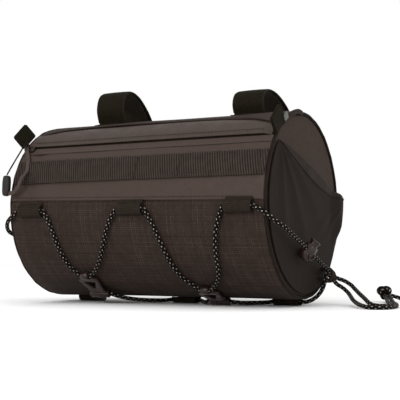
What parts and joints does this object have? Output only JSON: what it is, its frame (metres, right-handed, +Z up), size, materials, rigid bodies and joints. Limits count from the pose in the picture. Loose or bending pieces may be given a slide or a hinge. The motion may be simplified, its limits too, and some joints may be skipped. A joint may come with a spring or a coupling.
{
  "type": "handlebar roll bag",
  "caption": "Cylindrical zipped bag that straps to a bicycle handlebar, with elastic lacing over its front, webbing loops and stretch pockets on its ends.",
  "frame": {"origin": "centre of the bag's bounding box, without its free cord ends, on the floor it lies on", "axes": "+X along the bag towards the end with the cord lock, -Y to the laced front, +Z up"},
  "size_m": [0.3008, 0.1909, 0.1749],
  "materials": {
    "ripstop": "grid-weave nylon, matt",
    "coated": "coated nylon, satin",
    "lining": "foam with a knitted lining, matt",
    "webbing": "ribbed nylon webbing, matt",
    "zip_tape": "woven tape, matt",
    "stretch": "stretch mesh, matt",
    "piping": "bound cord, satin",
    "cord": "braided elastic cord with light flecks",
    "plastic": "moulded nylon, satin",
    "metal": "satin plated metal"
  },
  "bodies": {
    "bag": {"lower_panel": "ripstop", "end_panel_left": "ripstop", "end_panel_right": "ripstop", "front_band": "coated", "back_panel": "coated", "gusset_left": "coated", "gusset_right": "coated", "foam_stiffener": "lining", "daisy_chain": "webbing", "grab_tab_left": "webbing", "grab_tab_right": "webbing", "cord_tab_front_1": "webbing", "cord_tab_front_2": "webbing", "cord_tab_front_3": "webbing", "cord_tab_lower_1": "webbing", "cord_tab_lower_2": "webbing", "cord_tab_lower_3": "webbing", "cord_anchor_left": "webbing", "cord_anchor_right": "webbing", "pocket_binding_left": "webbing", "pocket_binding_right": "webbing", "strap_patch_left": "webbing", "strap_patch_right": "webbing", "strap_anchor_left": "webbing", "strap_anchor_right": "webbing", "zip_tape_lower": "zip_tape", "zip_tape_end_left": "zip_tape", "zip_tape_end_right": "zip_tape", "pocket_left": "stretch", "pocket_right": "stretch", "piping_left": "piping", "piping_right": "piping", "bungee_upper": "cord", "bungee_lower": "cord", "tail_a": "cord", "tail_b": "cord", "tail_end": "cord", "tail_knot": "cord", "cord_hook_left": "plastic", "cord_hook_right": "plastic"},
    "lid": {"lid_panel": "coated", "storm_flap": "coated", "zip_tape_upper": "zip_tape"},
    "zip_slider": {"zip_slider": "metal"},
    "zip_pull": {"pull_cord": "cord", "pull_grip": "plastic"},
    "cord_lock": {"lock_body": "plastic", "lock_spring": "metal"},
    "lock_button": {"lock_button": "plastic"},
    "strap_left": {"strap_left": "webbing"},
    "strap_right": {"strap_right": "webbing"}
  },
  "joints": [
    {"name": "lid_hinge", "type": "hinge", "parent": "bag", "child": "lid", "pos_m": [-0.0029, -0.00276, 0.14495], "axis": [-1, 0, 0], "range_deg": [0, 95]},
    {"name": "zip_slide", "type": "slide", "parent": "bag", "child": "zip_slider", "axis": [1, 0, 0], "range_m": [0, 0.206]},
    {"name": "pull_hinge", "type": "hinge", "parent": "zip_slider", "child": "zip_pull", "pos_m": [-0.1091, -0.05181, 0.1257], "axis": [-1, 0, 0], "range_deg": [0, 100]},
    {"name": "lock_slide", "type": "slide", "parent": "bag", "child": "cord_lock", "axis": [0, 0.9366, -0.3503], "range_m": [-0.02, 0.03]},
    {"name": "lock_press", "type": "slide", "parent": "cord_lock", "child": "lock_button", "axis": [-0.5734, -0.2869, -0.7674], "range_m": [0, 0.0025], "stiffness_N_per_m": 900, "springref_m": -0.002, "deforming": ["lock_spring"]},
    {"name": "strap_left_hinge", "type": "hinge", "parent": "bag", "child": "strap_left", "pos_m": [-0.0659, 0.0695, 0.1086], "axis": [-1, 0, 0], "range_deg": [0, 75]},
    {"name": "strap_right_hinge", "type": "hinge", "parent": "bag", "child": "strap_right", "pos_m": [0.0601, 0.0699, 0.1086], "axis": [-1, 0, 0], "range_deg": [0, 75]}
  ]
}
